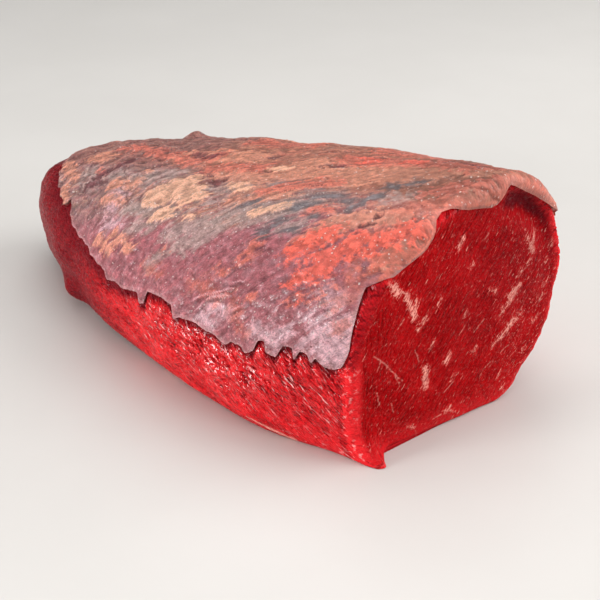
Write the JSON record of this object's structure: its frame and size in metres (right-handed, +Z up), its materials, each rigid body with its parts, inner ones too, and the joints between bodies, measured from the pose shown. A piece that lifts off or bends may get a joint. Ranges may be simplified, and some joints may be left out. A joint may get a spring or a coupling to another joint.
{
  "type": "raw beef roasting joint",
  "caption": "Raw boneless beef joint lying on a flat base, cut square at one end and tapering to a rounded tail, with fat and silverskin over the top.",
  "frame": {"origin": "on the table under the middle of the joint's box", "axes": "+X along the joint towards the cut face, +Y across it, +Z up from the table"},
  "size_m": [0.282, 0.153, 0.1112],
  "materials": {
    "raw_beef": "moist raw meat, deep red, with a satin sheen",
    "fat_and_silverskin": "moist fat and silverskin, pinkish cream to lilac grey"
  },
  "bodies": {
    "root": {"beef_joint": "raw_beef"}
  },
  "joints": []
}
